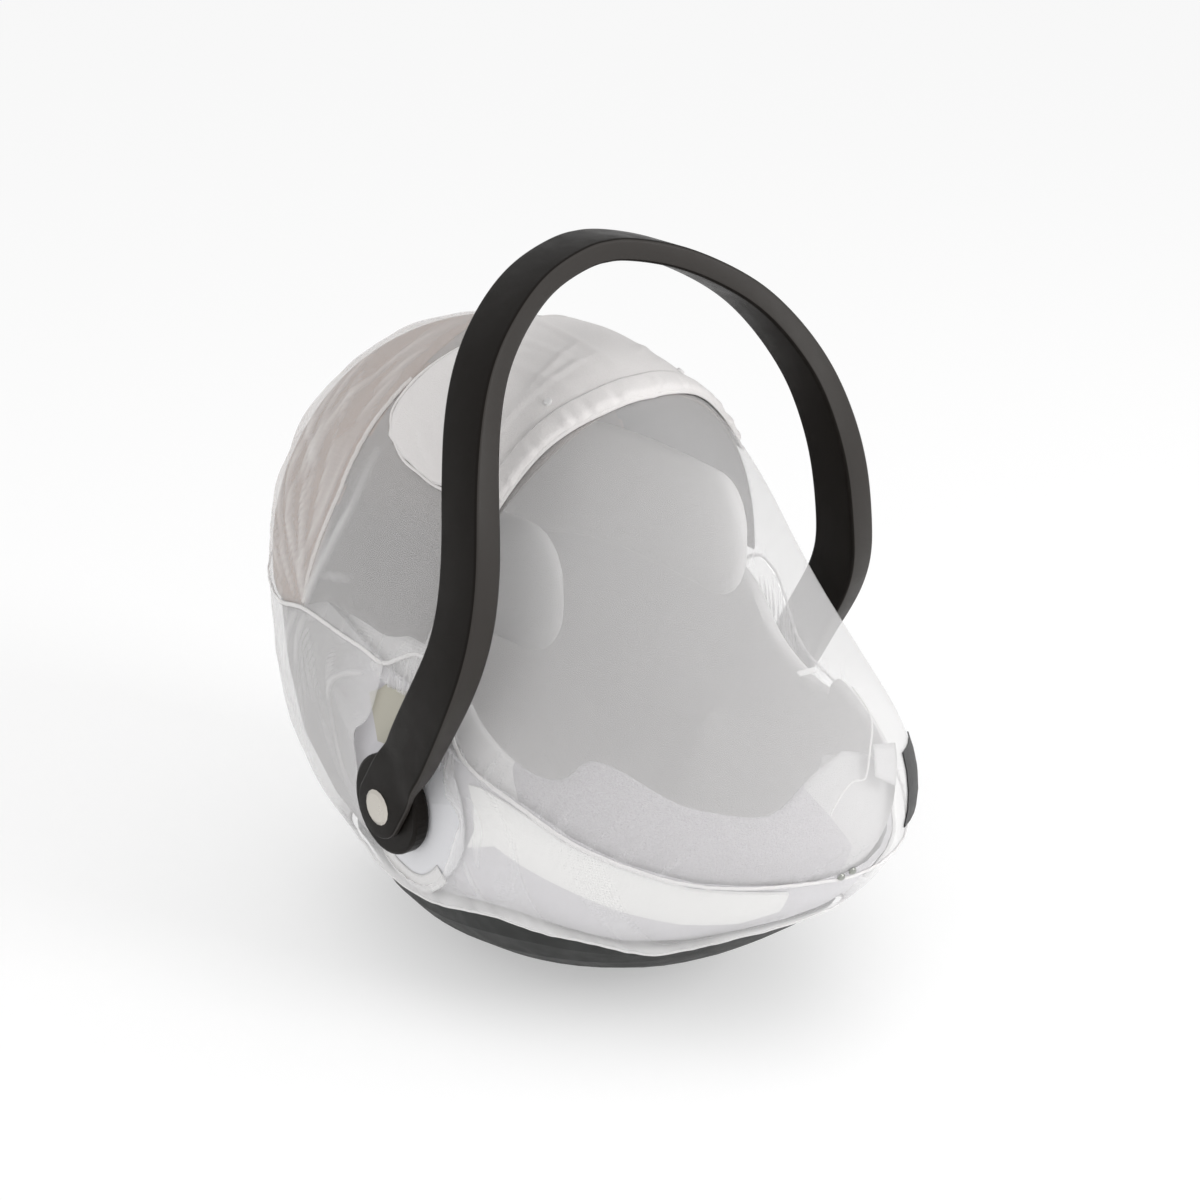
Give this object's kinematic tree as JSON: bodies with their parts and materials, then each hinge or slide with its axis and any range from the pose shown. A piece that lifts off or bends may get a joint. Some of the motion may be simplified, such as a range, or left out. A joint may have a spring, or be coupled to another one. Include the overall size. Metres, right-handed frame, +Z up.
{
  "type": "mosquito net on an infant carrier seat",
  "caption": "Sheer white net drawn over a padded infant carrier seat with an elastic hem and a cloth visor; the arched carry handle rises through its side slots and turns on its hubs",
  "frame": {"origin": "on the floor in the middle of the base's flat spot, straight below the handle's hinge axis", "axes": "+Z up, -Y the foot end, +Y the head end, X the width along the hinge axis"},
  "size_m": [0.4276, 0.6616, 0.584],
  "materials": {
    "white_net": "fine open net, matt",
    "white_binding": "woven tape, matt",
    "visor_cotton": "close weave, matt",
    "stud_plastic": "moulded",
    "black_woven": "woven, matt",
    "grey_shell": "fine grain",
    "cream_trim": "satin",
    "dark_base": "fine grain",
    "grey_liner": "knitted, padded",
    "grey_headrest": "plain weave, padded",
    "grey_canopy": "plain weave, matt",
    "beige_guide": "moulded",
    "dark_handle": "satin, fine grain",
    "pale_badge": "brushed"
  },
  "bodies": {
    "carrier": {"net_front_panel": "white_net", "net_rear_panel": "white_net", "net_skirt": "white_net", "rim_seam_tape": "white_binding", "rear_seam_tape_left": "white_binding", "rear_seam_tape_right": "white_binding", "visor": "visor_cotton", "visor_casing": "visor_cotton", "visor_piping": "visor_cotton", "visor_stud_left": "stud_plastic", "visor_stud_right": "stud_plastic", "blank_patch": "black_woven", "slot_facing_left": "white_binding", "slot_facing_right": "white_binding", "shell": "grey_shell", "rim_trim_left": "cream_trim", "rim_trim_right": "cream_trim", "rocker_base": "dark_base", "seat_liner": "grey_liner", "headrest_pad": "grey_headrest", "canopy": "grey_canopy", "belt_guide_left": "beige_guide", "belt_guide_right": "beige_guide", "hub_left": "dark_handle", "hub_right": "dark_handle"},
    "handle": {"carry_handle": "dark_handle", "blank_badge_left": "pale_badge", "blank_badge_right": "pale_badge"}
  },
  "joints": [
    {"name": "handle_hinge", "type": "hinge", "parent": "carrier", "child": "handle", "pos_m": [0, 0, 0.16], "axis": [1, 0, 0], "range_deg": [-95, 45]}
  ]
}
